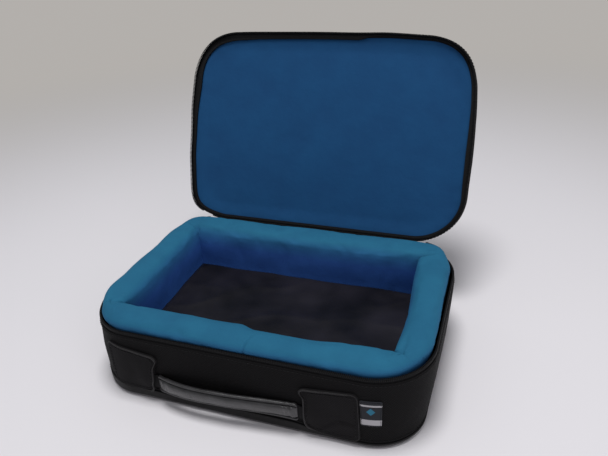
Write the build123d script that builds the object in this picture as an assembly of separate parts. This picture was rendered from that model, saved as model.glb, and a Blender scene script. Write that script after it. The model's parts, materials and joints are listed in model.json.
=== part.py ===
"""A soft padded camera case with a zipped lid, standing open.

All sizes are in millimetres. The case stands on the plane Z = 0, centred on the Z axis: X runs along its
length, the handle is on the front at -Y, and the lid is hinged at the rear and leans back as it stands
open. The lid is built closed, on top of the base, and then turned about the fold of its hinge strip.
"""
from build123d import *
import math
import os

# Size of the case
case_length = 360.0
case_depth = 240.0
corner_radius = 60.0
bottom_length = 345.0
bottom_corner_radius = 50.0
draw_in_height = 66.0
rim_height = 84.0
lid_height = 24.0
lid_open_angle = 112.3

# Layers of the wall, from the outside in
cover_thickness = 1.2
tape_thickness = 0.6
wall_board_thickness = 3.8
layer_gap = 0.1
zip_margin = 6.0
binding_height = 2.0
tape_overlap = 8.0

# Bottom
bottom_piping_radius = 3.0
bottom_cover_thickness = 2.0
bottom_board_thickness = 3.0

# Padded lining: the walls round the cavity and its floor
lining_thickness = 1.2
front_wall = 34.0
rear_wall = 39.0
left_wall = 39.5
right_wall = 37.0
pad_rise = 8.0
pad_outer_round = 10.0
pad_inner_round = 6.0
pad_seam_angle = 25.0
pad_gap = 0.3
floor_height = 40.0

# Lid
lid_piping_radius = 2.6
lid_cover_thickness = 1.2
lid_board_thickness = 2.5
pad_clearance = 1.0

# Zipper
chain_width = 2.4
chain_height = 2.8
chain_spacing = 1.2
zip_start_angle = 20.0
lid_zip_margin_angle = 1.5
end_tab_thickness = 1.2
end_tab_angle = 11.0
end_tab_overlap = 6.0

# Zipper sliders and pulls
slider_angle = 9.0
slider_plate = 1.4
slider_inner_plate = 1.2
slider_flange = 0.8
slider_post_thickness = 0.6
slider_clearance = 0.4
tape_slot_clearance = 0.4
pull_pin_radius = 0.6
pull_pin_offset = 1.5
pull_eye_clearance = 0.2
pull_eye_wall = 0.6
pull_eye_length = 3.2
pull_side_clearance = 0.3
pull_cheek = 0.9
pull_cheek_half_height = 1.7
pull_thickness = 1.2
pull_width = 8.0
pull_neck = 4.0
pull_length = 22.0
pull_corner = 1.8

# Hinge strip, folded along the hinge line
strip_thickness = 1.2
strip_half_length = 112.0
strip_reach = 20.0

# Handle, its tabs and the label on the front
handle_centre = -12.5
handle_span = 148.0
handle_height = 29.0
strap_width = 19.0
strap_thickness = 1.6
strap_clearance = 0.3
pocket_depth = 26.0
pocket_end_gap = 2.0
grip_end_gap = 4.0
grip_edge_height = 21.5
grip_edge_thickness = 3.4
grip_bulge_height = 15.0
grip_bulge_thickness = 6.0
grip_bulge_end_thickness = 4.6
grip_bulge_margin = 6.0
grip_bulge_round = 1.4
grip_skin = 1.0
grip_wall_gap = 0.5
finger_gap = 5.5
grip_joint_gap = 0.2
tab_width = 58.0
tab_low = 7.5
tab_high = 60.0
tab_corner = 8.0
tab_thickness = 1.8
tab_binding_width = 3.0
tab_binding_rise = 1.0
label_width = 20.0
label_height = 30.0
label_low = 28.5
label_thickness = 0.9
label_gap = 0.7
label_corner = 1.0

# Insets of the wall's layers from its outer face
tape_inset = cover_thickness + layer_gap
board_inset = tape_inset + tape_thickness + layer_gap
lining_inset = board_inset + wall_board_thickness + layer_gap
zip_inset = tape_inset + tape_thickness / 2

# Heights in the zip's band, either side of the plane where the base and the lid meet
chain_near = chain_spacing / 2
chain_far = chain_near + chain_height
tape_edge = chain_far + layer_gap
slider_reach = chain_far + slider_clearance + slider_flange

# Heights in the lid, as it lies closed
lid_top = rim_height + lid_height
lid_plate_inset = 2 * lid_piping_radius + layer_gap
lid_board_low = lid_top - lid_cover_thickness - layer_gap - lid_board_thickness
lid_wall_top = lid_top - 2 * lid_piping_radius - layer_gap
lining_low = rim_height + pad_rise + pad_clearance

# Heights in the base
wall_low = 2 * bottom_piping_radius + layer_gap
wall_top = rim_height - zip_margin
bottom_plate_inset = 2 * bottom_piping_radius + layer_gap
bottom_board_low = bottom_cover_thickness + layer_gap
pad_low = bottom_board_low + bottom_board_thickness + layer_gap
pad_top = rim_height + pad_rise

# The opening between the padded walls
opening_left = -case_length / 2 + left_wall
opening_right = case_length / 2 - right_wall
opening_front = -case_depth / 2 + front_wall
opening_rear = case_depth / 2 - rear_wall

# The hinge line and the centre of the rear right corner
hinge_y = case_depth / 2 + layer_gap + strip_thickness / 2
corner_x = case_length / 2 - corner_radius
corner_y = case_depth / 2 - corner_radius
beyond = case_length

# The slider's place on the rear corner's arc, as angles from the rear
slider_centre_angle = zip_start_angle + slider_angle / 2
lid_zip_start_angle = zip_start_angle + slider_angle + lid_zip_margin_angle


def outline(height, inset):
    """The wall's plan outline at a height, set in from its outer face."""
    share = min(height / draw_in_height, 1.0)
    length = bottom_length + (case_length - bottom_length) * share
    radius = bottom_corner_radius + (corner_radius - bottom_corner_radius) * share
    sketch = RectangleRounded(length - 2 * inset, case_depth - 2 * inset, radius - inset)
    return Pos(0, 0, height) * sketch


def filled(low, high, inset):
    """Everything inside the wall's outline between two heights."""
    parts = []
    if low < draw_in_height:
        top = min(high, draw_in_height)
        parts.append(loft([outline(low, inset), outline(top, inset)], ruled=True))
    if high > draw_in_height:
        start = max(low, draw_in_height)
        parts.append(extrude(outline(start, inset), amount=high - start))
    return parts[0] if len(parts) == 1 else parts[0] + parts[1]


def band(low, high, outer, inner):
    """A ring of the wall between two insets and two heights."""
    return filled(low, high, outer) - filled(low, high, inner)


def prism(points, low, high):
    """A block with straight sides over a plan outline."""
    face = make_face(Polyline(*points, close=True))
    return extrude(Pos(0, 0, low) * face, amount=high - low)


def box(x, y, z):
    """A box between two values on each axis."""
    size = [x[1] - x[0], y[1] - y[0], z[1] - z[0]]
    return Pos((x[0] + x[1]) / 2, (y[0] + y[1]) / 2, (z[0] + z[1]) / 2) * Box(*size)


def rear_zone(angle, low, high):
    """The rear of the case, up to an angle round both rear corners."""
    reach_x = beyond * math.sin(math.radians(angle))
    reach_y = beyond * math.cos(math.radians(angle))
    points = [
        (-corner_x, corner_y),
        (-corner_x - reach_x, corner_y + reach_y),
        (corner_x + reach_x, corner_y + reach_y),
        (corner_x, corner_y),
    ]
    return prism(points, low, high)


def corner_block(start, end, outer, inner, low, high):
    """A block between two insets and two heights, over two angles round the rear right corner."""
    near = corner_radius - inner
    far = corner_radius - outer
    section = Plane.XZ * Pos((near + far) / 2, (low + high) / 2) * Rectangle(far - near, high - low)
    block = revolve(section, Axis.Z, end - start)
    return Pos(corner_x, corner_y, 0) * Rot(0, 0, 90 - end) * block


def opened(part):
    """A part of the closed lid, turned to where the lid stands open."""
    back = Pos(0, -hinge_y, -rim_height)
    return Pos(0, hinge_y, rim_height) * Rot(-lid_open_angle, 0, 0) * back * part


def piping(height, radius):
    """A round cord sewn along the wall's outline, flush with its outer face."""
    path = outline(height, radius).face().outer_wire()
    section = Plane(origin=path @ 0, z_dir=path % 0) * Circle(radius)
    return sweep(section, path=path)


def mirrored(part):
    """The same part on the other side of the case."""
    return mirror(part, about=Plane.YZ)


# Base: bottom and wall
def bottom_parts():
    board_high = bottom_board_low + bottom_board_thickness
    return {
        "bottom_cover": filled(0, bottom_cover_thickness, bottom_plate_inset),
        "bottom_board": filled(bottom_board_low, board_high, bottom_plate_inset),
        "bottom_piping": piping(bottom_piping_radius, bottom_piping_radius),
    }


def wall_parts():
    board_top = wall_top - binding_height - layer_gap
    board_far = board_inset + wall_board_thickness
    return {
        "wall_cover": band(wall_low, wall_top, 0, cover_thickness),
        "wall_board": band(wall_low, board_top, board_inset, board_far),
        "wall_binding": band(board_top + layer_gap, wall_top, board_inset, board_far),
    }


# Padded walls round the cavity: each is a foam core in a sewn cover that is open underneath
def pad_wedge(side, gap):
    """The plan of one padded wall: straight inside, with a seam running out from each corner."""
    reach_x = beyond * math.cos(math.radians(pad_seam_angle))
    reach_y = beyond * math.sin(math.radians(pad_seam_angle))
    front, rear = opening_front + gap, opening_rear - gap
    left, right = opening_left, opening_right
    wedges = {
        "front": [
            (left, opening_front),
            (right, opening_front),
            (right + reach_x, opening_front - reach_y),
            (right, -beyond),
            (left, -beyond),
            (left - reach_x, opening_front - reach_y),
        ],
        "rear": [
            (left, opening_rear),
            (right, opening_rear),
            (right + reach_x, opening_rear + reach_y),
            (right, beyond),
            (left, beyond),
            (left - reach_x, opening_rear + reach_y),
        ],
        "left": [
            (left, front),
            (left, rear),
            (left - reach_x, rear + reach_y),
            (left - reach_x, front - reach_y),
        ],
        "right": [
            (right, front),
            (right, rear),
            (right + reach_x, rear + reach_y),
            (right + reach_x, front - reach_y),
        ],
    }
    return wedges[side]


def inner_top_edge(block, side, top):
    """The straight top edge of a padded wall, along the cavity."""
    along = Axis.X if side in ("front", "rear") else Axis.Y
    edges = block.edges().filter_by(along).group_by(Axis.Z)[-1]
    inward = {"front": Axis.Y, "rear": -Axis.Y, "left": Axis.X, "right": -Axis.X}
    return edges.sort_by(inward[side])[-1:]


def pad_block(side, shrink, low):
    """A padded wall with its crown, or the space a given depth under its surface."""
    tub = filled(low, pad_top - shrink, lining_inset + shrink)
    rim = tub.faces().sort_by(Axis.Z)[-1].edges()
    tub = fillet(rim, pad_outer_round - shrink)
    wedge = prism(pad_wedge(side, pad_gap), low, pad_top + pad_gap)
    block = tub & wedge
    block = fillet(inner_top_edge(block, side, pad_top - shrink), pad_inner_round)
    if shrink:
        block = block & moved_in(side, shrink)
    return block


def moved_in(side, depth):
    """The space a given depth inside the straight faces of one padded wall."""
    plan = make_face(Polyline(*pad_wedge(side, pad_gap), close=True))
    inner = offset(plan, -depth, kind=Kind.INTERSECTION)
    return extrude(inner, amount=pad_top + pad_gap)


def pad_parts():
    parts = {}
    for side in ("front", "rear", "left", "right"):
        block = pad_block(side, 0, pad_low)
        hollow = pad_block(side, lining_thickness, pad_low)
        core = pad_block(side, lining_thickness + layer_gap, pad_low)
        parts[f"pad_cover_{side}"] = block - hollow
        parts[f"pad_foam_{side}"] = core
    return parts


def floor_parts():
    x = (opening_left + pad_gap, opening_right - pad_gap)
    y = (opening_front + pad_gap, opening_rear - pad_gap)
    cover_low = floor_height - lining_thickness
    return {
        "floor_foam": box(x, y, (pad_low, cover_low - layer_gap)),
        "floor_cover": box(x, y, (cover_low, floor_height)),
    }


# Lid, built closed
def lid_parts():
    wall_bottom = rim_height + zip_margin
    binding_top = wall_bottom + binding_height
    board_far = board_inset + wall_board_thickness
    lining_high = lining_low + lining_thickness
    cover_low = lid_top - lid_cover_thickness
    board_high = lid_board_low + lid_board_thickness
    foam_high = lid_board_low - layer_gap
    return {
        "lid_cover": filled(cover_low, lid_top, lid_plate_inset),
        "lid_board": filled(lid_board_low, board_high, lid_plate_inset),
        "lid_piping": piping(lid_top - lid_piping_radius, lid_piping_radius),
        "lid_wall_cover": band(wall_bottom, lid_wall_top, 0, cover_thickness),
        "lid_wall_board": band(binding_top + layer_gap, lid_wall_top, board_inset, board_far),
        "lid_binding": band(wall_bottom, binding_top, board_inset, board_far),
        "lid_foam": filled(lining_high + layer_gap, foam_high, lining_inset),
        "lid_lining": filled(lining_low, lining_high, lining_inset),
    }


# Zipper: a tape and a chain on each side of the parting plane
def zip_ring(low, high, outer, inner, start_angle):
    """A ring round the sides and front, from one rear corner to the other."""
    return band(low, high, outer, inner) - rear_zone(start_angle, low - 1, high + 1)


def zip_parts():
    tape_inner = tape_inset + tape_thickness
    chain_outer = zip_inset - chain_width / 2
    chain_inner = zip_inset + chain_width / 2
    wall_bottom = rim_height + zip_margin
    base_tape = (wall_top - tape_overlap, rim_height - tape_edge)
    base_chain = (rim_height - chain_far, rim_height - chain_near)
    lid_tape = (rim_height + tape_edge, wall_bottom + tape_overlap)
    lid_chain = (rim_height + chain_near, rim_height + chain_far)
    tab_start = zip_start_angle - layer_gap - end_tab_angle
    tab_end = zip_start_angle - layer_gap
    end_low = wall_top - end_tab_overlap
    end_high = rim_height - chain_near
    end_tab = corner_block(
        tab_start, tab_end, -layer_gap - end_tab_thickness, -layer_gap, end_low, end_high
    )
    return {
        "base_zipper_tape": zip_ring(*base_tape, tape_inset, tape_inner, zip_start_angle - end_tab_angle),
        "base_zipper_chain": zip_ring(*base_chain, chain_outer, chain_inner, zip_start_angle),
        "zipper_end_tab_right": end_tab,
        "zipper_end_tab_left": mirrored(end_tab),
        "lid_zipper_tape": zip_ring(*lid_tape, tape_inset, tape_inner, lid_zip_start_angle),
        "lid_zipper_chain": zip_ring(*lid_chain, chain_outer, chain_inner, lid_zip_start_angle),
    }


# Sliders: two plates joined by a post between the chains, with a pin for the pull
slider_outer = zip_inset - chain_width / 2 - slider_clearance - slider_plate
pin_inset = slider_outer - pull_pin_offset
pull_eye_radius = pull_pin_radius + pull_eye_clearance + pull_eye_wall


def pull_frame():
    """The frame at the pull's pin: X along the slider's travel, Y straight out from the corner."""
    angle = math.radians(slider_centre_angle)
    reach = corner_radius - pin_inset
    x = corner_x + reach * math.sin(angle)
    y = corner_y + reach * math.cos(angle)
    return Pos(x, y, rim_height) * Rot(0, 0, -slider_centre_angle)


def along_pin(radius, length):
    """A rod along the pin's line."""
    return Rot(0, 90, 0) * Cylinder(radius, length)


def slider():
    start = zip_start_angle
    end = zip_start_angle + slider_angle
    low = rim_height - slider_reach
    high = rim_height + slider_reach
    outer_face = zip_inset - chain_width / 2 - slider_clearance
    inner_face = zip_inset + chain_width / 2 + slider_clearance
    slot = tape_thickness / 2 + tape_slot_clearance
    body = corner_block(start, end, slider_outer, outer_face, low, high)
    body += corner_block(start, end, inner_face, inner_face + slider_inner_plate, low, high)
    for flange_low in (low, high - slider_flange):
        flange_high = flange_low + slider_flange
        body += corner_block(start, end, outer_face, zip_inset - slot, flange_low, flange_high)
        body += corner_block(start, end, zip_inset + slot, inner_face, flange_low, flange_high)
    post_low = rim_height - slider_post_thickness / 2
    post_high = rim_height + slider_post_thickness / 2
    body += corner_block(start, start + slider_angle / 2, outer_face, inner_face, post_low, post_high)
    cheek_gap = pull_eye_length / 2 + pull_side_clearance
    cheek_depth = pull_pin_offset + pull_pin_radius + pull_eye_wall
    for side in (-1, 1):
        cheek = Box(pull_cheek, cheek_depth, 2 * pull_cheek_half_height)
        centre_x = side * (cheek_gap + pull_cheek / 2)
        centre_y = cheek_depth / 2 - pull_pin_offset - slider_plate / 2
        body += pull_frame() * Pos(centre_x, centre_y, 0) * cheek
    pin_length = 2 * (cheek_gap + pull_cheek)
    return body + pull_frame() * along_pin(pull_pin_radius, pin_length)


def pull_tab():
    """The pull, hanging from its pin."""
    eye = along_pin(pull_eye_radius, pull_eye_length)
    neck_low = -pull_eye_radius - pull_neck
    neck = box(
        (-pull_eye_length / 2, pull_eye_length / 2),
        (-pull_thickness / 2, pull_thickness / 2),
        (neck_low, 0),
    )
    plate = Pos(0, 0, neck_low - pull_length / 2) * Box(pull_width, pull_thickness, pull_length)
    plate = fillet(plate.edges().filter_by(Axis.Y), pull_corner)
    plate -= Pos(0, 0, neck_low - pull_width / 2) * Rot(90, 0, 0) * Cylinder(pull_corner, pull_width)
    bore = along_pin(pull_pin_radius + pull_eye_clearance, 2 * pull_width)
    return pull_frame() * (eye + neck + plate - bore)


def slider_parts():
    right_slider = slider()
    right_pull = pull_tab()
    return {
        "slider_right": right_slider,
        "slider_left": mirrored(right_slider),
        "pull_tab_right": right_pull,
        "pull_tab_left": mirrored(right_pull),
    }


# Hinge strip: one leg on the base's rear wall, the other on the lid, and the fold between them
def hinge_strip():
    x = (-strip_half_length, strip_half_length)
    y = (case_depth / 2 + layer_gap, case_depth / 2 + layer_gap + strip_thickness)
    lower = box(x, y, (rim_height - strip_reach, rim_height))
    upper = box(x, y, (rim_height, rim_height + strip_reach))
    fold = Pos(0, hinge_y, rim_height) * along_pin(strip_thickness / 2, 2 * strip_half_length)
    return lower + fold + opened(upper)


# Handle, across the front
front_face = -case_depth / 2
strap_line = front_face - strap_clearance - strap_thickness / 2
half_span = handle_span / 2
grip_half = half_span - grip_end_gap
grip_middle = front_face - finger_gap - grip_bulge_thickness / 2
grip_end = front_face - grip_wall_gap - grip_edge_thickness / 2


def bow_line(x):
    """How far out the handle's middle line lies, at a distance along it from its centre."""
    rise = grip_end - grip_middle
    radius = (grip_half**2 + rise**2) / (2 * rise)
    return grip_middle + radius - math.sqrt(radius**2 - x**2)


def bowed(thickness_middle, thickness_end, half_length, height):
    """A bar that bows out from the front wall, its thickness changing from the ends to the middle."""
    sides = []
    for sign in (-1, 1):
        end = bow_line(half_length) + sign * thickness_end / 2
        middle = grip_middle + sign * thickness_middle / 2
        points = [(-half_length, end), (0, middle), (half_length, end)]
        sides.append(ThreePointArc(*points))
    ends = [Line(sides[0] @ 0, sides[1] @ 0), Line(sides[0] @ 1, sides[1] @ 1)]
    bar = extrude(make_face(sides + ends), amount=height)
    return Pos(handle_centre, 0, handle_height - height / 2) * bar


def bulge(shrink):
    """The padded middle of the grip, or the space a given depth under its skin."""
    middle = grip_bulge_thickness - 2 * shrink
    end = grip_bulge_end_thickness - 2 * shrink
    bar = bowed(middle, end, grip_half - grip_bulge_margin - shrink, grip_bulge_height - 2 * shrink)
    if shrink:
        return bar
    return fillet(bar.edges().filter_by(GeomType.CIRCLE), grip_bulge_round)


def handle_parts():
    slot = strap_thickness + 2 * layer_gap
    strap = bowed(strap_thickness, strap_thickness, grip_half, strap_width)
    strap_space = bowed(slot, slot, grip_half, strap_width + 2 * layer_gap)
    edge = bowed(grip_edge_thickness, grip_edge_thickness, grip_half, grip_edge_height)
    sleeve = edge + bulge(0) - bulge(grip_skin) - strap_space
    padding = bulge(grip_skin + layer_gap) - strap_space
    return {"handle_sleeve": sleeve, "handle_padding": padding, "handle_strap": strap}


def strap_end(side):
    """The free end of the strap: from the grip, over the wall, into the pocket of its tab."""
    start = grip_half + grip_joint_gap
    half = strap_thickness / 2
    end = half_span + pocket_depth - pocket_end_gap
    line = [(start, grip_end), (half_span, strap_line), (end, strap_line)]
    outer = [(x, y - half) for x, y in line]
    inner = [(x, y + half) for x, y in reversed(line)]
    piece = extrude(make_face(Polyline(*outer, *inner, close=True)), amount=strap_width)
    if side < 0:
        piece = mirrored(piece)
    return Pos(handle_centre, 0, handle_height - strap_width / 2) * piece


def front_patch(x, z, radius, outer, inner):
    """A patch on the front wall, with rounded corners, that follows the wall round its corner."""
    plan = Plane.XZ * Pos((x[0] + x[1]) / 2, (z[0] + z[1]) / 2)
    cutter = extrude(plan * RectangleRounded(x[1] - x[0], z[1] - z[0], radius), amount=case_depth)
    return band(z[0] - 1, z[1] + 1, outer, inner) & cutter


def handle_tab(side):
    """A tab with a pocket for the strap, and the raised binding round its edge."""
    near = handle_centre + side * half_span
    far = near + side * tab_width
    x = (min(near, far), max(near, far))
    z = (tab_low, tab_high)
    pocket = strap_clearance * 2 + strap_thickness
    outer = -pocket - tab_thickness
    frame = front_patch(x, z, tab_corner, outer - tab_binding_rise, -layer_gap)
    inside_x = (x[0] + tab_binding_width, x[1] - tab_binding_width)
    inside_z = (z[0] + tab_binding_width, z[1] - tab_binding_width)
    inside = (inside_x, inside_z, tab_corner - tab_binding_width)
    field = front_patch(*inside, outer, -layer_gap)
    hole = front_patch(*inside, outer - 2 * tab_binding_rise, 0)
    pocket_end = near + side * pocket_depth
    strap_half = strap_width / 2 + strap_clearance
    channel = box(
        (min(near - side, pocket_end), max(near - side, pocket_end)),
        (front_face - pocket, front_face + 1),
        (handle_height - strap_half, handle_height + strap_half),
    )
    binding = frame - hole
    return field - channel, binding - channel


def front_parts():
    parts = {}
    for name, side in (("left", -1), ("right", 1)):
        tab, binding = handle_tab(side)
        parts[f"handle_tab_{name}"] = tab
        parts[f"handle_tab_binding_{name}"] = binding
        parts[f"handle_strap_end_{name}"] = strap_end(side)
    label_start = handle_centre + half_span + tab_width + label_gap
    x = (label_start, label_start + label_width)
    z = (label_low, label_low + label_height)
    parts["label"] = front_patch(x, z, label_corner, -layer_gap - label_thickness, -layer_gap)
    return parts


def build():
    """Every piece, by name."""
    parts = {}
    for group in (bottom_parts, wall_parts, pad_parts, floor_parts, handle_parts, front_parts, slider_parts):
        parts.update(group())
    zip_pieces = zip_parts()
    lid_pieces = lid_parts()
    for name in ("lid_zipper_tape", "lid_zipper_chain"):
        lid_pieces[name] = zip_pieces.pop(name)
    parts.update(zip_pieces)
    for name, piece in lid_pieces.items():
        parts[name] = opened(piece)
    parts["hinge_strip"] = hinge_strip()
    return parts


os.makedirs("parts", exist_ok=True)
for name, piece in build().items():
    export_step(piece, f"parts/{name}.step")
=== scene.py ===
"""Looks of a soft padded camera case with a zipped lid, standing open on a pale floor.

Lengths in this script are in millimetres and are turned into metres as each mesh is made. The case stands
on Z = 0: X runs along its length, the handle is on the front at -Y and the lid is hinged at the rear.
"""
import json
import math

import bmesh
import bpy
from mathutils import Matrix, Vector, noise


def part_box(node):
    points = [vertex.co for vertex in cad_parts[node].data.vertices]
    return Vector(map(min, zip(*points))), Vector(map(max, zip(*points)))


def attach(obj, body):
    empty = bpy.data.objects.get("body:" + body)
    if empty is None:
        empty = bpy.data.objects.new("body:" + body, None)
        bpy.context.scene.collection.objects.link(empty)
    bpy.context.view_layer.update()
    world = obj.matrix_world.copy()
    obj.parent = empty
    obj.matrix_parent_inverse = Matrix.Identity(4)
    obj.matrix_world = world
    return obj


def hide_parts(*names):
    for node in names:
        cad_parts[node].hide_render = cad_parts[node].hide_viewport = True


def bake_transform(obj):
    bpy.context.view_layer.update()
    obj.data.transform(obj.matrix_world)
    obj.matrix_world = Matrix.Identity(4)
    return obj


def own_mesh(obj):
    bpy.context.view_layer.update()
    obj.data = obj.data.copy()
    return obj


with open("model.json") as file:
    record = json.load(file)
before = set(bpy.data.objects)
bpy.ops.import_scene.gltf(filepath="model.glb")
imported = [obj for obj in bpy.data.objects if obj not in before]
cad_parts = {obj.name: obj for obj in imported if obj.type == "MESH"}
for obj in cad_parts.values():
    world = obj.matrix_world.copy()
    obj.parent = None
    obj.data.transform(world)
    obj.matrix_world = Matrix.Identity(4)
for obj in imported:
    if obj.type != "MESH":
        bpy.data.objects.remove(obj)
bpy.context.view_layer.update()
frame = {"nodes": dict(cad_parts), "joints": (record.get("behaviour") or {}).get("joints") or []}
MM = 0.001


def node_box(name):
    """A node's lowest and highest corners, in millimetres."""
    low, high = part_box(name)
    return Vector(low) / MM, Vector(high) / MM


# Sizes read from the frame
wall_low_corner, wall_high_corner = node_box("wall_cover")
case_length, case_depth = (wall_high_corner - wall_low_corner).xy
wall_bottom, wall_top = wall_low_corner.z, wall_high_corner.z
opening_left = node_box("pad_cover_left")[1].x
opening_right = node_box("pad_cover_right")[0].x
opening_front = node_box("pad_cover_front")[1].y
opening_rear = node_box("pad_cover_rear")[0].y
pad_top = node_box("pad_cover_front")[1].z
floor_top = node_box("floor_cover")[1].z
mouth_left = node_box("handle_tab_binding_left")[1].x
mouth_right = node_box("handle_tab_binding_right")[0].x
tab_low, tab_high = (corner.z for corner in node_box("handle_tab_binding_right"))
label_start, label_end = (corner.x for corner in node_box("label"))
label_low, label_high = (corner.z for corner in node_box("label"))
lid_hinge = next(joint for joint in frame["joints"] if joint["name"] == "lid_hinge")
hinge_y, rim_height = (value / MM for value in lid_hinge["pos_m"][1:])
lid_open_angle = -lid_hinge["range_deg"][0]

# Sizes shared with the construction
corner_radius = 60.0
front_straight = case_length / 2 - corner_radius
bottom_length = 345.0
bottom_corner_radius = 50.0
draw_in_height = 66.0
cover_thickness = 1.2
binding_outer = 2.0
binding_inner = 5.8
lining_inset = 5.9
zip_inset = 1.6
chain_half_width = 1.2
chain_near = 0.6
chain_height = 2.8
zip_start_angle = 20.0
lid_zip_start_angle = 30.5
lid_height = 24.0
lid_top = rim_height + lid_height
lining_face = 9.0
lid_piping_radius = 2.6
bottom_piping_radius = 3.0
tape_inset = 1.3
tape_thickness = 0.6
pad_seam_angle = 25.0
handle_height = 29.0
tab_width = 58.0
# Rough lengths of the outline's parts, by which it is divided
LONG_SIDE, SHORT_SIDE, CORNER_ARC = 240, 120, 95


# Numbers
def clamp(value, low=0.0, high=1.0):
    """The value, or the nearer limit where it is past one."""
    return max(low, min(high, value))


def lerp(a, b, share):
    """A share of the way from one value to another."""
    return a + (b - a) * share


def smooth(low, high, value):
    """Rises smoothly from 0 to 1 between two values."""
    share = clamp((value - low) / (high - low))
    return share * share * (3 - 2 * share)


def bump(value, centre, width):
    """A soft hump of height 1 round a value."""
    return math.exp(-(((value - centre) / width) ** 2))


def mound(point, centre, width):
    """A soft round hump of height 1 in plan."""
    return bump((Vector((point.x, point.y, 0)) - Vector((*centre, 0))).length, 0, width)


def soft(x, y, z, size, seed=0.0):
    """Smooth noise from -1 to 1 with features of a given size."""
    return noise.noise(Vector((x / size + seed, y / size - seed, z / size + 2 * seed)))


def around(degrees):
    """The cosine and sine of an angle."""
    return math.cos(math.radians(degrees)), math.sin(math.radians(degrees))


def round_end(from_end, length):
    """Rises from 0 at an end to 1 at a length from it, as a round does."""
    return math.sqrt(max(0.0, 1 - (1 - min(from_end / length, 1)) ** 2))


def eased(low, high, count, ease=0.9):
    """Values from low to high, closer together near both ends."""
    turn = math.pi / 2 * ease
    shares = (0.5 + 0.5 * math.sin(turn * (2 * i / count - 1)) / math.sin(turn) for i in range(count + 1))
    return [lerp(low, high, share) for share in shares]


# Places on the case
def opened(point):
    """A point of the closed lid, where the lid stands open."""
    c, s = around(lid_open_angle)
    dy, dz = point.y - hinge_y, point.z - rim_height
    return Vector((point.x, hinge_y + dy * c + dz * s, rim_height - dy * s + dz * c))


def wall_shape(height):
    """Half length, half depth and corner radius of the wall's outline at a height."""
    share = clamp(height / draw_in_height)
    length = lerp(bottom_length, case_length, share)
    return length / 2, case_depth / 2, lerp(bottom_corner_radius, corner_radius, share)


def place(column, inset, height):
    """A point on the wall: a column of the outline, an inset from the outer face and a height."""
    along_x, along_y, c, s = column
    half_x, half_y, radius = wall_shape(height)
    x = along_x * (half_x - radius) + (radius - inset) * c
    y = along_y * (half_y - radius) + (radius - inset) * s
    return Vector((x, y, height))


def corner_columns(side_x, side_y, start, end, count, with_last=False):
    """Columns round one corner, between two angles in degrees."""
    angles = [start + (end - start) * i / count for i in range(count + with_last)]
    return [(side_x, side_y, *around(angle)) for angle in angles]


def side_columns(c, s, count):
    """Columns along the straight side that faces (c, s), without the last."""
    return [(c - s * (1 - 2 * i / count), s + c * (1 - 2 * i / count), c, s) for i in range(count)]


def zip_columns(start_angle, step=5.0):
    """Columns from the rear right corner round the right, front and left to the rear left corner."""
    long_count, short_count, arc_count = (int(part / step) for part in (LONG_SIDE, SHORT_SIDE, CORNER_ARC))
    part_count = max(2, int(arc_count * (90 - start_angle) / 90))
    columns = corner_columns(1, 1, 90 - start_angle, 0, part_count) + side_columns(1, 0, short_count)
    columns += corner_columns(1, -1, 0, -90, arc_count) + side_columns(0, -1, long_count)
    columns += corner_columns(-1, -1, -90, -180, arc_count) + side_columns(-1, 0, short_count)
    return columns + corner_columns(-1, 1, 180, 90 + start_angle, part_count, True)


def rear_columns(end_angle, step=5.0, arc_count=6):
    """Columns across the rear, from the rear left corner to the rear right corner."""
    columns = corner_columns(-1, 1, 90 + end_angle, 90, arc_count) + side_columns(0, 1, int(LONG_SIDE / step))
    return columns + corner_columns(1, 1, 90, 90 - end_angle, arc_count, True)


def all_columns(step=5.0):
    """Columns all the way round, starting at the rear right corner."""
    return zip_columns(0, step)[:-1] + side_columns(0, 1, int(LONG_SIDE / step))


def front_column(along):
    """The column at a distance along the wall from the middle of the front, to the right."""
    beyond = abs(along) - front_straight
    if beyond <= 0:
        return (along / front_straight, -1, 0, -1)
    side, angle = math.copysign(1, along), beyond / corner_radius
    return (side, -1, side * math.sin(angle), -math.cos(angle))


def wall_distance(x):
    """How far along the wall a place on the front lies, from its distance to the middle."""
    beyond = abs(x) - front_straight
    if beyond <= 0:
        return x
    return math.copysign(front_straight + corner_radius * math.asin(min(1, beyond / corner_radius)), x)


def base_sway(point):
    """The soft base's outline as it stands, a few millimetres off its plain shape."""
    x, y, z = point
    left = 5.2 * bump(y, -80, 34) + 2.6 * smooth(-62, -30, y) + 1.4 * smooth(-20, 40, y)
    right = 2.6 * bump(z, 34, 24) * bump(y, 5, 95)
    dx = right * smooth(100, 170, x) + left * smooth(40, 78, z) * smooth(90, 165, -x)
    return Vector((x + dx, y, z))


def lid_sway(point):
    """The closed lid's outline as the soft lid has it, a few millimetres off its plain shape."""
    x, y, z = point
    right = 1.3 * bump(y, 12, 38) - 2.5 * bump(y, -74, 26) + 1.2 * bump(y, 92, 22)
    left = 1.1 * bump(y, -22, 22) - 2.2 * bump(y, 66, 17) - 1.6 * bump(y, -80, 24) + 1.2 * bump(y, 100, 14)
    far = 1.1 * bump(x, -5, 70) + 1.2 * bump(x, 70, 26) - 1.2 * bump(x, 134, 24) - 0.8 * bump(x, -130, 22)
    full = mound(point, (-160, 104), 20)
    dx = right * smooth(90, 180, x) - left * smooth(90, 180, -x) - 4.2 * full
    return Vector((x + dx, y - far * smooth(30, 120, -y) + 2.6 * full, z))


def set_up(point, lid):
    """A point of the plain base or closed lid, as it really stands."""
    return opened(lid_sway(point)) if lid else base_sway(point)


def inside_outline(x, y, inset, shape):
    """How far inside an outline, set in, a point lies. Its shape is half length, half depth and radius."""
    half_x, half_y, radius = (size - inset for size in shape)
    qx, qy = abs(x) - (half_x - radius), abs(y) - (half_y - radius)
    return radius - (math.hypot(max(qx, 0), max(qy, 0)) + min(max(qx, qy), 0))


def from_edge(x, y, inset, height=draw_in_height):
    """How far inside the wall's outline at a height, set in, a point lies."""
    return inside_outline(x, y, inset, wall_shape(height))


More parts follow.
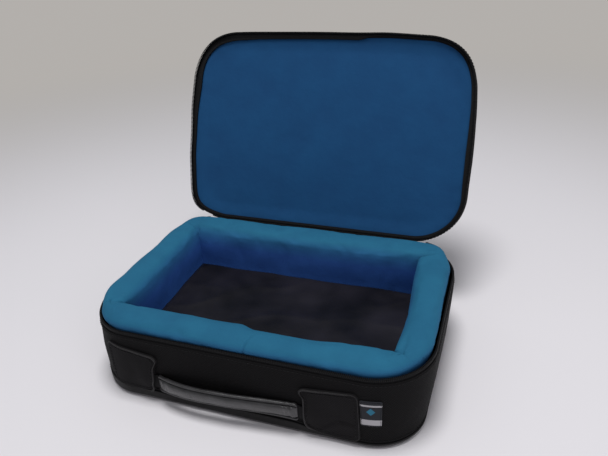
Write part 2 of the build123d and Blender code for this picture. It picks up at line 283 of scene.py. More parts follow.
def half_width_at(inset, height=draw_in_height):
    """A function that gives the outline's half width at a depth, set in from the wall at a height."""
    half_x, half_y, radius = (size - inset for size in wall_shape(height))

    def reach(y):
        over = max(0, abs(y) - (half_y - radius))
        return half_x - radius + math.sqrt(max(radius**2 - over**2, 0))

    return reach


def outward_from_wall(point):
    """The wall's outward direction at a point, in plan."""
    half_x, half_y, radius = wall_shape(point.z)
    x = clamp(point.x, radius - half_x, half_x - radius)
    y = clamp(point.y, radius - half_y, half_y - radius)
    direction = Vector((point.x - x, point.y - y, 0))
    return direction if direction.length > 1e-6 else Vector((0, -1, 0))


def to_outline(origin, direction, inset):
    """The distance from a point inside the case to the wall's outline, set in."""
    near, far = 0.0, case_length
    for _ in range(40):
        middle = (near + far) / 2
        p = origin + direction * middle
        inside = inside_outline(p.x, p.y, inset, (case_length / 2, case_depth / 2, corner_radius)) > 0
        near, far = (middle, far) if inside else (near, middle)
    return near


# Meshes
def make_object(name, points, faces, uvs=None, sharp_angle=None):
    """An object from points in millimetres, with texture places for each corner where given."""
    mesh = bpy.data.meshes.new(name)
    mesh.from_pydata([p * MM for p in points], [], faces)
    if uvs is not None:
        layer = mesh.uv_layers.new(name="cloth")
        for polygon, corners in zip(mesh.polygons, uvs):
            for loop, (u, v) in zip(polygon.loop_indices, corners):
                layer.data[loop].uv = (u * MM, v * MM)
    body = bmesh.new()
    body.from_mesh(mesh)
    bmesh.ops.remove_doubles(body, verts=body.verts, dist=1e-7)
    bmesh.ops.dissolve_degenerate(body, edges=body.edges, dist=1e-7)
    bmesh.ops.recalc_face_normals(body, faces=body.faces)
    body.to_mesh(mesh)
    body.free()
    for polygon in mesh.polygons:
        polygon.use_smooth = True
    if sharp_angle:
        mesh.set_sharp_from_angle(angle=math.radians(sharp_angle))
    obj = bpy.data.objects.new(name, mesh)
    bpy.context.collection.objects.link(obj)
    return obj


def bands(rows, count, wrap=False, start=0):
    """Faces between rows of points, where each row is a closed loop of so many points."""
    faces = []
    for i in range(rows if wrap else rows - 1):
        a, b = start + i * count, start + (i + 1) % rows * count
        faces += [(a + k, a + (k + 1) % count, b + (k + 1) % count, b + k) for k in range(count)]
    return faces


def end_faces(rows, count, start=0):
    """Faces that close the first and the last row."""
    return [tuple(range(first, first + count)) for first in (start, start + (rows - 1) * count)]


def lofted(name, rows, across, along, closed=True, sharp_angle=50):
    """A tube through rows of points: each row is a closed section, and rows follow one another."""
    count = len(rows[0])
    faces, uvs = bands(len(rows), count, closed), []
    for u0, u1 in zip(along, along[1 : len(faces) // count + 1]):
        uvs += [((u0, v0), (u0, v1), (u1, v1), (u1, v0)) for v0, v1 in zip(across, across[1:])]
    if not closed:
        faces += end_faces(len(rows), count)
        uvs += [[(along[0], v) for v in across[:-1]]] * 2
    return make_object(name, [p for row in rows for p in row], faces, uvs, sharp_angle)


def lengths(points, closed=False):
    """Distances along a line of points, with one more where it is closed."""
    total = [0.0]
    for a, b in zip(points, points[1:] + points[:1] if closed else points[1:]):
        total.append(total[-1] + (b - a).length)
    return total if closed else total + total[-1:]


def ring(name, columns, section, closed=True, lid=False, shift=None):
    """A piece that follows the wall: a closed section of insets and heights, along columns."""
    rows = []
    for column in columns:
        row = []
        for inset, height in section:
            extra = shift(place(column, inset, height), inset, height) if shift else 0.0
            row.append(set_up(place(column, inset + extra, height), lid))
        rows.append(row)
    across = lengths([Vector((i, h, 0)) for i, h in section], closed=True)
    along = lengths([place(c, 0, rim_height) for c in columns], closed=closed)
    return lofted(name, rows, across, along, closed)


def rounded_section(outer, inner, low, high, radius, steps=4):
    """A closed section with rounded corners, between two insets and two heights."""
    section = []
    for right, above, start in ((True, True, 90), (True, False, 0), (False, False, -90), (False, True, 180)):
        inset = inner - radius if right else outer + radius
        height = high - radius if above else low + radius
        for i in range(steps + 1):
            c, s = around(start - 90 * i / steps)
            section.append((inset + radius * c, height + radius * s))
    return section


def divided(loop, longest, whole=int):
    """The same closed loop with its long stretches divided."""
    result = []
    for a, b in zip(loop, loop[1:] + loop[:1]):
        parts = max(1, whole(math.dist(a, b) / longest))
        result += [(lerp(a[0], b[0], i / parts), lerp(a[1], b[1], i / parts)) for i in range(parts)]
    return result


def rounded_loop(width, height, radius, step, count=10):
    """A rounded rectangle's points about its centre, with its long sides divided."""
    points = []
    for cx, cy, start in ((1, 1, 0), (-1, 1, 90), (-1, -1, 180), (1, -1, 270)):
        for i in range(count + 1):
            c, s = around(start + 90 * i / count)
            points.append((cx * (width / 2 - radius) + radius * c, cy * (height / 2 - radius) + radius * s))
    return divided(points, step, round)


def panel(name, half_width, rows_y, count, top, bottom, lid=False):
    """A flat panel with a shaped top and bottom, over a plan that is symmetric left to right."""
    points, places = [], []
    for surface in (top, bottom):
        for y in rows_y:
            for x in eased(-half_width(y), half_width(y), count, 0.86):
                point = Vector((x, y, surface(x, y)))
                points.append(set_up(point, lid) if lid else point)
                places.append((x, y))
    width, depth = count + 1, len(rows_y)
    layer = width * depth
    faces = []
    for a in (j * width + i for j in range(depth - 1) for i in range(count)):
        quad = (a, a + 1, a + width + 1, a + width)
        faces += [quad, tuple(layer + v for v in reversed(quad))]
    border = list(range(width)) + [j * width + count for j in range(1, depth)]
    border += [(depth - 1) * width + i for i in range(count - 1, -1, -1)]
    border += [j * width for j in range(depth - 2, 0, -1)]
    faces += [(b, a, layer + a, layer + b) for a, b in zip(border, border[1:] + border[:1])]
    return make_object(name, points, faces, [[places[v] for v in face] for face in faces], 60)


def spaced(points, step):
    """Points at even steps along a line of points."""
    result, carried = [], 0.0
    for a, b in zip(points, points[1:]):
        length = (b - a).length
        while carried <= length and length > 0:
            result.append(a.lerp(b, carried / length))
            carried += step
        carried -= length
    return result


def stitches(name, points, outward=outward_from_wall, step=4.0, length=2.9, radius=0.42):
    """A line of thread stitches along points; outward gives the cloth's outward direction at a point."""
    marks = spaced(points, step)
    stations = ((0.0, 0.25), (0.12, 0.8), (0.5, 1.0), (0.88, 0.8), (1.0, 0.25))
    sides = 6
    mesh_points, faces = [], []
    for a, b in zip(marks, marks[1:]):
        direction = (b - a).normalized()
        normal = outward(a).normalized()
        side = direction.cross(normal).normalized()
        start = len(mesh_points)
        for share, size in stations:
            centre = a + direction * length * share + normal * radius * (1.1 * size - 0.75)
            for k in range(sides):
                c, s = around(360 / sides * k)
                mesh_points.append(centre + (side * c + normal * s) * radius * size)
        faces += bands(len(stations), sides, start=start) + end_faces(len(stations), sides, start)
    return make_object(name, mesh_points, faces)


# Materials
class Surface:
    """A material and the few node shapes that the cloths here share."""

    def __init__(self, name, colour, roughness, sheen=0.0, specular=0.5, **more):
        self.material = bpy.data.materials.new(name)
        self.material.use_nodes = True
        self.tree = self.material.node_tree
        self.shader = self.tree.nodes["Principled BSDF"]
        self.colour = colour
        values = {"Base Color": (*colour, 1), "Roughness": roughness, "Specular IOR Level": specular}
        values.update({"Sheen Weight": sheen, "Sheen Roughness": 0.4, **more})
        for key, value in values.items():
            self.shader.inputs[key].default_value = value
        places = self.node("ShaderNodeTexCoord")
        self.uv, self.spot = places.outputs["UV"], places.outputs["Object"]

    def link(self, socket, shader_input):
        self.tree.links.new(socket, self.shader.inputs[shader_input])

    def fill(self, sockets, values):
        """Gives input sockets their values, each a number, a colour or a socket to link."""
        for socket, value in zip(sockets, values):
            if isinstance(value, bpy.types.NodeSocket):
                self.tree.links.new(value, socket)
            elif value is not None:
                socket.default_value = (*value, 1) if isinstance(value, tuple) else value

    def node(self, kind, **values):
        made = self.tree.nodes.new(kind)
        for key, value in values.items():
            if key in made.inputs:
                self.fill([made.inputs[key]], [value])
            else:
                setattr(made, key, value)
        return made

    def maths(self, operation, a, b=None):
        made = self.node("ShaderNodeMath", operation=operation)
        self.fill(made.inputs, (a, b))
        return made.outputs[0]

    def sum_of(self, *terms):
        """Adds up values, each times a number."""
        scaled = [self.maths("MULTIPLY", value, amount) for value, amount in terms]
        total = scaled[0]
        for value in scaled[1:]:
            total = self.maths("ADD", total, value)
        return total

    def mixed(self, share, a, b, blend_type="MIX"):
        """A colour between two, or their product."""
        made = self.node("ShaderNodeMix", data_type="RGBA", blend_type=blend_type)
        self.fill([made.inputs[i] for i in (0, 6, 7)], (share, a, b))
        return made.outputs[2]

    def split(self, where):
        return self.node("ShaderNodeSeparateXYZ", Vector=where).outputs

    def noise(self, size, detail=3.0, roughness=0.55):
        values = {"Scale": 1 / (size * MM), "Detail": detail, "Roughness": roughness, "Vector": self.spot}
        return self.node("ShaderNodeTexNoise", **values).outputs["Fac"]

    def weave(self, where, pitch, skew=0.0):
        """Height of a plain weave: threads over and under each other at a pitch."""
        x, y, _ = self.split(where)
        rate = math.pi / (pitch * MM)
        second = self.sum_of((y, rate), (x, rate * skew)) if skew else self.maths("MULTIPLY", y, rate)
        first = self.maths("SINE", self.maths("MULTIPLY", x, rate))
        product = self.maths("MULTIPLY", first, self.maths("SINE", second))
        return self.maths("ADD", self.maths("MULTIPLY", product, 0.5), 0.5)

    def tint(self, value, low, high, dark, light):
        """Colours the surface by a value: dark and light are colours, or factors on its own colour."""
        ramp = self.node("ShaderNodeValToRGB", Fac=value)
        for element, position, colour in zip(ramp.color_ramp.elements, (low, high), (dark, light)):
            element.position = position
            element.color = (*(colour if isinstance(colour, tuple) else shade(self.colour, colour)), 1)
        self.link(ramp.outputs[0], "Base Color")
        return ramp.outputs[0]

    def vary_roughness(self, value, low, high):
        span = self.node("ShaderNodeMapRange", **{"Value": value, "To Min": low, "To Max": high})
        self.link(span.outputs[0], "Roughness")

    def finished(self, *heights):
        """The material, with a bump that adds up heights, each a value and its size in millimetres."""
        total = self.sum_of(*((value, amount * MM) for value, amount in heights))
        made = self.node("ShaderNodeBump", Strength=1.0, Distance=1.0, Height=total)
        self.link(made.outputs["Normal"], "Normal")
        return self.material


def shade(colour, factor):
    return tuple(c * factor for c in colour)


def woven_cloth(name, colour, pitch=1.5, use_uv=True):
    """Coarse woven synthetic cloth with a little lint and fading."""
    surface = Surface(name, colour, 0.8, 0.02, 0.13)
    threads = surface.weave(surface.uv if use_uv else surface.spot, pitch)
    clouds = surface.noise(45.0, 4.0)
    surface.tint(surface.sum_of((threads, 0.45), (clouds, 0.75)), 0.25, 0.95, 0.6, 1.7)
    surface.vary_roughness(clouds, 0.72, 0.9)
    return surface.finished((threads, 0.22), (surface.noise(1.1, 2.0), 0.11), (surface.noise(14.0), 0.5))


def blue_cloth(name, colour, dark, deep=None):
    """Smooth knitted lining with a faint nap, soft variation in tone and, where given, painted shade: low in
    the cavity its colour turns bluer and less green, as the lining looks in shade.
    """
    surface = Surface(name, colour, 0.85, 0.12, 0.2, **{"Sheen Tint": (*shade(colour, 2.5), 1)})
    clouds, nap = surface.noise(38.0), surface.noise(2.2)
    tinted = surface.tint(surface.sum_of((clouds, 0.8), (nap, 0.2)), 0.25, 0.75, dark, colour)
    # Painted shade: below the pad tops the colour is multiplied towards the hue the lining shows in the
    # cavity's shade.
    if deep:
        height = surface.split(surface.spot)["Z"]
        levels = {"Value": height, "From Min": (pad_top - 1) * MM, "From Max": (pad_top - 25) * MM}
        low = surface.node("ShaderNodeMapRange", **levels).outputs[0]
        surface.link(surface.mixed(low, tinted, deep, "MULTIPLY"), "Base Color")
    return surface.finished((surface.weave(surface.uv, 0.7, 0.5), 0.06), (nap, 0.12), (clouds, 1.2))


def slick_nylon(name, colour):
    """Thin shiny nylon with fine creases, and lighter patches of painted sheen."""
    surface = Surface(name, colour, 0.5, 0.02, 0.2)
    clouds = surface.noise(60.0, 2.0)
    # Painted sheen: the colour rises to 3.2 times in soft patches, for the sheen on the floor's folds.
    surface.tint(clouds, 0.3, 0.7, 0.6, 3.2)
    surface.vary_roughness(clouds, 0.34, 0.56)
    return surface.finished((surface.weave(surface.uv, 0.6), 0.04), (surface.noise(9.0, 5.0, 0.6), 0.3))


def grained_vinyl(name, colour):
    """Soft vinyl with a pebbled grain, scuffed lighter in patches."""
    surface = Surface(name, colour, 0.3, specular=0.6, **{"Coat Weight": 0.25, "Coat Roughness": 0.25})
    values = {"Scale": 1 / (1.3 * MM), "Vector": surface.spot}
    cells = surface.node("ShaderNodeTexVoronoi", feature="DISTANCE_TO_EDGE", **values)
    grain = surface.maths("MINIMUM", cells.outputs["Distance"], 0.35)
    scuffs = surface.noise(16.0, 6.0, 0.7)
    surface.tint(scuffs, 0.35, 0.75, 0.55, 1.8)
    surface.vary_roughness(scuffs, 0.24, 0.42)
    return surface.finished((grain, 0.25), (surface.noise(7.0, 4.0), 0.7))


def ribbed_tape(name, colour, rib=1.0, roughness=0.7, specular=0.3):
    """Woven tape with ribs across its length."""
    surface = Surface(name, colour, roughness, 0.03, specular)
    along = surface.split(surface.uv)["X"]
    ribs = surface.maths("SINE", surface.maths("MULTIPLY", along, 2 * math.pi / (rib * MM)))
    fuzz = surface.noise(1.5)
    surface.tint(fuzz, 0.3, 0.7, 0.65, 1.6)
    return surface.finished((ribs, 0.07), (fuzz, 0.12))


def plain_surface(name, colour, roughness, metallic=0.0, grain=2.0, depth=0.04, wear=1.6, specular=0.5):
    """Moulded or painted surface with a little grain and wear."""
    surface = Surface(name, colour, roughness, specular=specular, Metallic=metallic)
    fine = surface.noise(grain, 5.0)
    surface.tint(fine, 0.35, 0.7, 0.75, wear)
    surface.vary_roughness(fine, roughness - 0.08, roughness + 0.12)
    return surface.finished((fine, depth))


def label_cloth(name):
    """Woven label: a dark field between two pale bars, with a small diamond."""
    pale, dark, accent = (0.42, 0.41, 0.43), (0.012, 0.014, 0.02), (0.02, 0.16, 0.26)
    surface = Surface(name, dark, 0.7, 0.1, 0.3)
    x, y, _ = surface.split(surface.uv)

    def band(low, high):
        above = surface.maths("GREATER_THAN", y, low * MM)
        return surface.maths("MULTIPLY", above, surface.maths("LESS_THAN", y, high * MM))

    def distance(value, centre):
        return surface.maths("ABSOLUTE", surface.maths("SUBTRACT", value, centre * MM))

    across, up = distance(x, (label_end - label_start) / 2), distance(y, (label_high - label_low) * 0.6)
    diamond = surface.maths("LESS_THAN", surface.maths("ADD", across, up), 4.2 * MM)
    colour = surface.mixed(band(2.0, 8.5), dark, pale)
    colour = surface.mixed(band(24.0, 26.0), colour, pale)
    surface.link(surface.mixed(diamond, colour, accent), "Base Color")
    return surface.finished((surface.weave(surface.uv, 0.55), 0.06))


BLACK = (0.0040, 0.0037, 0.0041)
BLUE, BLUE_DARK = (0.0168, 0.136, 0.238), (0.012, 0.099, 0.19)
# Painted shade: the lid's lining is the pads' cloth, made darker so the open lid reads as standing in shade.
LID_BLUE_PAINTED_SHADE, LID_BLUE_DARK_PAINTED_SHADE = (0.0068, 0.063, 0.170), (0.0054, 0.049, 0.142)
# Painted shade: factors on the lining's colour low in the cavity, for the bluer hue it takes in shade.
PAINTED_CAVITY_SHADE = (1.9, 0.84, 1.7)

cloth = woven_cloth("black_woven_cloth", BLACK)
cloth_plan = woven_cloth("black_woven_cloth_plan", BLACK, use_uv=False)
# Painted light: the tabs' cloth is the wall's black made 1.9 times lighter, for the extra light on the
# front's left and right parts.
tab_cloth_painted_light = woven_cloth("tab_woven_cloth_painted_light", shade(BLACK, 1.9), pitch=1.3)
# Painted light: the bottom corded edge is much lighter than the black lid piping, for the light the pale
# floor throws up onto it.
piping_cloth_painted_light = ribbed_tape("piping_cloth_painted_light", (0.052, 0.049, 0.053), rib=1.1, roughness=0.3, specular=0.6)
lid_piping_cloth = ribbed_tape("lid_piping_cloth", (0.009, 0.0088, 0.01), rib=1.1, roughness=0.5)
binding_tape = ribbed_tape("binding_tape", (0.0035, 0.0035, 0.004), rib=1.2, specular=0.18)
tab_binding_tape = ribbed_tape("tab_binding_tape", (0.012, 0.0112, 0.012), roughness=0.5)
zip_tape = ribbed_tape("zip_tape", (0.003, 0.003, 0.0035), rib=0.9, specular=0.15)
strip_cloth = ribbed_tape("bottom_strip_cloth", (0.0058, 0.0055, 0.006), 1.3, 0.6, 0.22)
# Near-black, for dark lines that stand in for the shade in grooves: painted shade.
painted_shade_black = plain_surface("painted_shade_black", (0.002, 0.002, 0.0022), 0.8, specular=0.08)
strap_web = ribbed_tape("strap_webbing", (0.004, 0.0039, 0.0045), rib=1.6, specular=0.15)
thread = plain_surface("black_thread", (0.0055, 0.0054, 0.006), 0.7, grain=0.8, specular=0.2)
tooth_plastic = plain_surface("zip_teeth", (0.003, 0.003, 0.0035), 0.5, specular=0.22)
dark_metal = plain_surface("slider_metal", (0.02, 0.02, 0.022), 0.4, metallic=0.5, wear=2.5)
pad_blue = blue_cloth("pad_lining_blue", BLUE, BLUE_DARK, PAINTED_CAVITY_SHADE)
lid_blue_painted_shade = blue_cloth("lid_lining_blue_painted_shade", LID_BLUE_PAINTED_SHADE, LID_BLUE_DARK_PAINTED_SHADE)
floor_nylon = slick_nylon("floor_nylon", (0.0042, 0.0038, 0.0056))
vinyl = grained_vinyl("grip_vinyl", (0.02, 0.0193, 0.021))
label_face = label_cloth("label_cloth")
foam = plain_surface("grey_foam", (0.12, 0.12, 0.125), 0.95, grain=3.0, depth=0.3)
board = plain_surface("stiffening_board", (0.05, 0.048, 0.045), 0.7)


def set_material(obj, material):
    obj.data.materials.clear()
    obj.data.materials.append(material)


def dress(obj, material, body, slot, *nodes):
    """Gives a piece its material and the body it moves with, and hides the nodes it stands for. Its slot is
    not used.
    """
    set_material(obj, material)
    if body:
        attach(obj, body)
    if nodes:
        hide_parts(*nodes)


# Base: wall, bottom edge and zip
def wall_softness(point, inset, height):
    """Shallow dents in the wall's cloth."""
    if inset > cover_thickness / 2:
        return 0.0
    dents = 0.5 + 0.5 * soft(point.x, point.y, height, 38.0, 3.0)
    creases = abs(soft(point.x, point.y, height * 2.2, 15.0, 8.0))
    edge = smooth(wall_bottom, wall_bottom + 10, height) * (1 - smooth(wall_top - 10, wall_top, height))
    return 0.05 + edge * (0.45 * dents + 0.2 * creases)


def base_wall():
    section = divided(rounded_section(0.05, binding_inner, wall_bottom, wall_top, 0.8, 3), 4.0)
    wall = ring("base_wall", all_columns(4.0), section, shift=wall_softness)
    dress(wall, cloth, "base", "woven_cover", "wall_cover", "wall_board")


def piping_ring(name, height, radius, body, node, lid=False, proud=0.3, sides=18):
    """A corded edge: a round cord in cloth, standing proud of the wall by a given amount."""
    section = []
    for c, s in (around(360 * i / sides) for i in range(sides)):
        section.append((radius - radius * c - proud, height + radius * s))

    def uneven(point, inset, level):
        return 0.15 * (1 + soft(point.x, point.y, 0, 9.0, 5.0)) * (1 - inset / (2 * radius))

    piece = ring(name, all_columns(4.0), section, lid=lid, shift=uneven)
    dress(piece, lid_piping_cloth if lid else piping_cloth_painted_light, body, "piping", node)


def foot_height(x):
    """How high the bottom panel's cloth is turned up the wall: less towards the right end."""
    return 13.0 - 6.8 * smooth(52, 98, x)


def foot_strip():
    """The bottom panel's turned-up edge: a strip above the corded edge, with a near-black cord along its top
    that paints the shade of the groove there.
    """
    columns = all_columns(3.0)
    rows, seam = [], []
    low = bottom_piping_radius + 1.4
    for column in columns:
        high = foot_height(place(column, 0, low).x)
        middle = place(column, 0, (low + high) / 2)
        proud = 0.75 + 0.35 * soft(middle.x, middle.y, 0, 16.0, 4.0)
        outline = ((-proud * 0.9, low), (-proud, low * 0.6 + high * 0.4), (-proud, high - 1.1))
        outline += ((-proud * 0.85, high - 0.5), (-proud * 0.4, high - 0.1))
        outline += ((0.3, high), (0.9, high), (0.9, low))
        rows.append([base_sway(place(column, inset, height)) for inset, height in outline])
        cord = ((-0.35, 0), (0.1, 0.5), (0.5, 0), (0.1, -0.5))
        seam.append([base_sway(place(column, inset, high + 0.55 + up)) for inset, up in cord])
    along = lengths([place(c, 0, low) for c in columns], closed=True)
    strip = lofted("bottom_turned_up_edge", rows, [0.0, 3.0, 6.0, 7.0, 8.0, 9.0, 10.0, 14.0, 16.0], along)
    dress(strip, strip_cloth, "base", "piping")
    # Painted shade: a near-black cord along the seam stands in for the shade of the groove above the strip.
    dress(lofted("wall_foot_seam_painted_shade", seam, [0, 1, 2, 3, 4], along), painted_shade_black, "base", "woven_cover")


def seam_along_wall(name, height, body, lid=False):
    """Stitches round the wall at a height, which depends on where along it they are."""
    inset = -0.02
    line = stitches(name, [place(c, inset, height(place(c, inset, wall_bottom).x)) for c in all_columns(4.0)])
    for vertex in line.data.vertices:
        vertex.co = set_up(vertex.co / MM, lid) * MM
    dress(line, thread, body, "woven_cover")


def zip_tape_ring(name, low, high, start_angle, body, node):
    section = rounded_section(tape_inset, tape_inset + tape_thickness, low, high, 0.25, 2)
    piece = ring(name, zip_columns(start_angle), section, closed=False, lid=body == "lid")
    dress(piece, zip_tape, body, "webbing", node)


def zip_teeth(name, root, tip, start_angle, body, node, tooth=1.05, pitch=1.7):
    """Moulded teeth, each gripping the tape's edge at its root."""
    marks = spaced([place(c, zip_inset, min(root, tip)) for c in zip_columns(start_angle, 2.0)], pitch)
    levels = ((0.0, 0.75, 1.0), (0.25, 1.0, 1.0), (0.6, 0.8, 0.8), (0.85, 1.1, 0.85), (1.0, 0.7, 0.6))
    points, faces = [], []
    for a, b in zip(marks, marks[1:]):
        along = (b - a).normalized()
        normal = outward_from_wall(a).normalized()
        start = len(points)
        for share, wide, deep in levels:
            centre = Vector((a.x, a.y, lerp(root, tip, share))) + along * tooth / 2
            for side, out in ((-1, -1), (1, -1), (1, 1), (-1, 1)):
                offset = along * side * tooth / 2 * wide + normal * out * chain_half_width * deep
                points.append(set_up(centre + offset, body == "lid"))
        faces += bands(len(levels), 4, start=start) + end_faces(len(levels), 4, start)
    dress(make_object(name, points, faces, sharp_angle=35), tooth_plastic, body, "zipper_chain", node)


def rear_edge(name, low, high, end_angle, body):
    """The wall's cloth between the two ends of the zip."""
    section = divided(rounded_section(0.2, 1.5, low, high, 0.4), 3.0)
    rear = ring(name, rear_columns(end_angle), section, closed=False, lid=body == "lid")
    dress(rear, cloth, body, "woven_cover")


def base_edge():
    section = divided(rounded_section(binding_outer, binding_inner, wall_top - 2.2, wall_top, 0.6), 3.0)
    dress(ring("base_wall_binding", all_columns(), section), binding_tape, "base", "binding", "wall_binding")
    rear_edge("base_rear_edge", wall_top - 1.0, rim_height - chain_near, 9.0, "base")


def zip_end_tabs(count=14):
    """Small folded tabs of cloth that close off the ends of the zip on the base."""
    low, high = (corner.z for corner in node_box("zipper_end_tab_right"))
    for name, side in (("left", -1), ("right", 1)):
        columns = corner_columns(side, 1, 90 - side * 19.9, 90 - side * 8.9, count, True)
        rows = []
        for i, column in enumerate(columns):
            near_end = min(i, count - i)
            proud = 0.55 + 0.7 * smooth(-0.5, 1.6, near_end)
            taper = 0.9 * (1 - smooth(-0.5, 1.5, near_end))
            row = []
            section = rounded_section(-0.1 - proud, -0.1, low + taper, high - taper, 0.25, 3)
            for inset, height in divided(section, 1.0):
                point = place(column, inset, height)
                puff = 0.3 * soft(point.x, point.y, height, 5.0, side) if inset < -0.3 else 0.0
                row.append(base_sway(place(column, inset - puff, height)))
            rows.append(row)
        across = lengths(rows[count // 2], closed=True)
        tab = lofted(f"zip_end_tab_{name}", rows, across, lengths([row[0] for row in rows]), closed=False)
        dress(tab, cloth, "base", "webbing", f"zipper_end_tab_{name}")
        outline = [place(column, -1.35, high - 1.4) for column in columns[1:count]]
        outline += [place(column, -1.35, low + 1.4) for column in columns[count - 1 : 0 : -1]]
        outline = spaced(outline + outline[:1], 0.7)
        line = stitches(f"zip_end_stitches_{name}", outline, step=2.1, length=1.5, radius=0.22)
        dress(line, thread, "base", "webbing")


def case_bottom():
    """The cloth under the case. It rests on its piping and lies a little hollow between."""
    inset = 2 * bottom_piping_radius - 0.4
    half_y = case_depth / 2 - inset

    def outer(x, y):
        edge = from_edge(x, y, inset, 0)
        hollow = 0.35 + 0.3 * soft(x, y, 0, 42.0, 21.0) + 0.12 * soft(x, y, 0, 13.0, 2.0)
        return 0.15 + hollow * smooth(2, 22, edge) + 1.0 * (1 - smooth(0, 2.5, edge))

    rows = eased(-half_y, half_y, 60)
    cover = panel("case_bottom_cloth", half_width_at(inset, 0), rows, 90, lambda x, y: 2.0, outer)
    dress(cover, cloth_plan, "base", "woven_cover", "bottom_cover")


# Padded walls round the cavity
CLOTH_SETTINGS = {
    "quality": 6,
    "mass": 0.15,
    "tension_stiffness": 18,
    "compression_stiffness": 18,
    "shear_stiffness": 8,
    "bending_stiffness": 1.2,
    "use_pressure": True,
    "vertex_group_shrink": "slack",
    "vertex_group_mass": "held",
}


def settle(piece, hold, slack, pressure, growth, most, frames=20):
    """Lets a piece's cloth swell over its filling, held and cut with slack by weight, up to a movement."""
    for name, weigh in (("held", hold), ("slack", slack)):
        group = piece.vertex_groups.new(name=name)
        for vertex in piece.data.vertices:
            group.add([vertex.index], weigh(vertex.co / MM), "REPLACE")
    before = [vertex.co.copy() for vertex in piece.data.vertices]
    cloth_step = piece.modifiers.new("cloth", "CLOTH")
    settings = cloth_step.settings
    for key, value in CLOTH_SETTINGS.items():
        setattr(settings, key, value)
    settings.uniform_pressure_force = pressure
    settings.shrink_min, settings.shrink_max = (-share for share in growth)
    settings.effector_weights.gravity = 0
    cloth_step.collision_settings.use_collision = False
    cloth_step.point_cache.frame_end = frames
    for step in range(1, frames + 1):
        bpy.context.scene.frame_set(step)
    bpy.context.view_layer.objects.active = piece
    bpy.ops.object.modifier_apply(modifier="cloth")
    for vertex, old in zip(piece.data.vertices, before):
        change = vertex.co - old
        vertex.co = old + change / (1 + change.length / (most * MM))
    piece.vertex_groups.clear()
    bpy.context.scene.frame_set(1)


PAD_CORNERS = {
    "front_left": Vector((opening_left, opening_front, 0)),
    "front_right": Vector((opening_right, opening_front, 0)),
    "rear_right": Vector((opening_right, opening_rear, 0)),
    "rear_left": Vector((opening_left, opening_rear, 0)),
}
# The two corners that each wall runs between, and the directions it faces: at its seams and between them
PAD_SIDES = {
    "front": ("front_left", "front_right", -180 + pad_seam_angle, -90, -pad_seam_angle),
    "right": ("front_right", "rear_right", -pad_seam_angle, 0, pad_seam_angle),
    "rear": ("rear_right", "rear_left", pad_seam_angle, 90, 180 - pad_seam_angle),
    "left": ("rear_left", "front_left", 180 - pad_seam_angle, 180, 180 + pad_seam_angle),
}
# At each corner: rounding of the inner and the outer edge, how far the wall puffs out over the rim, and
# depth and reach of the seam's crease
CORNER_FORMS = {
    "front_left": (8.0, 10.0, 3.8, 1.7, 24.0),
    "front_right": (7.0, 10.0, 2.8, 2.0, 19.0),
    "rear_right": (8.0, 6.0, 0.6, 0.8, 18.0),
    "rear_left": (9.0, 6.0, 0.4, 0.8, 18.0),
}
groove_start = 9.0


def front_edge_shift(point):
    """How far the front pad's inner edge stands back and up: it bulges left of its middle and far right."""
    amount = 3.6 * (1 - smooth(-6, 10, point.x)) + 2.8 * smooth(68, 100, point.x)
    behind = opening_front - point.y
    near = 1 - smooth(0, 26, behind) if behind > 0 else 1 - smooth(0, 34, -behind)
    amount *= near * smooth(pad_top - 36, pad_top - 6, point.z)
    return Vector((0, 0.85 * amount, 0.35 * amount))


def pad_columns(side):
    """Rays across one padded wall: origin, angle, the corner it fans from, and its share along the wall."""
    first, last, start, straight, end = PAD_SIDES[side]
    a, b = PAD_CORNERS[first], PAD_CORNERS[last]
    fan = max(10, int(abs(straight - start) / 1.6))

    def ray(origin, outer, turned, corner, share):
        return (origin, outer + (straight - outer) * turned * (0.4 + 0.6 * turned), corner, share)

    count = int((b - a).length / 3.5)
    shares = [i / count for i in range(count + 1)]
    if side == "front":
        shares = sorted(set(shares + [(groove_start + 0.5 * i - a.x) / (b.x - a.x) for i in range(20)]))
    columns = [ray(a, start, i / fan, first, 0.0) for i in range(fan)]
    columns += [(a.lerp(b, share), straight, None, share) for share in shares]
    return columns + [ray(b, end, 1 - i / fan, last, 1.0) for i in range(1, fan + 1)]


def pad_profile(reach, inner_round, outer_round, stretch, crown=0.5):
    """Distances from the cavity's edge and heights, from the inner foot over the crown to the outer foot."""
    foot = wall_bottom - 0.8
    start = pad_top - inner_round
    quarter = [(math.cos(angle), math.sin(angle)) for angle in (math.pi / 2 * i / 8 for i in range(9))]
    flat_start = inner_round * stretch
    flat = reach - flat_start - outer_round
    profile = [(0.0, foot + (start - foot) * i / 14) for i in range(14)]
    profile += [(flat_start * (1 - c), start + inner_round * s) for c, s in quarter]
    shares = [i / 10 for i in range(1, 10)]
    profile += [(flat_start + flat * share, pad_top + crown * math.sin(math.pi * share)) for share in shares]
    profile += [(reach - outer_round * (1 - s), pad_top - outer_round * (1 - c)) for c, s in quarter]
    below = pad_top - outer_round
    profile += [(reach, below + (draw_in_height - pad_top + outer_round) * i / 3) for i in range(1, 4)]
    return profile + [(reach - 9.0, foot)]


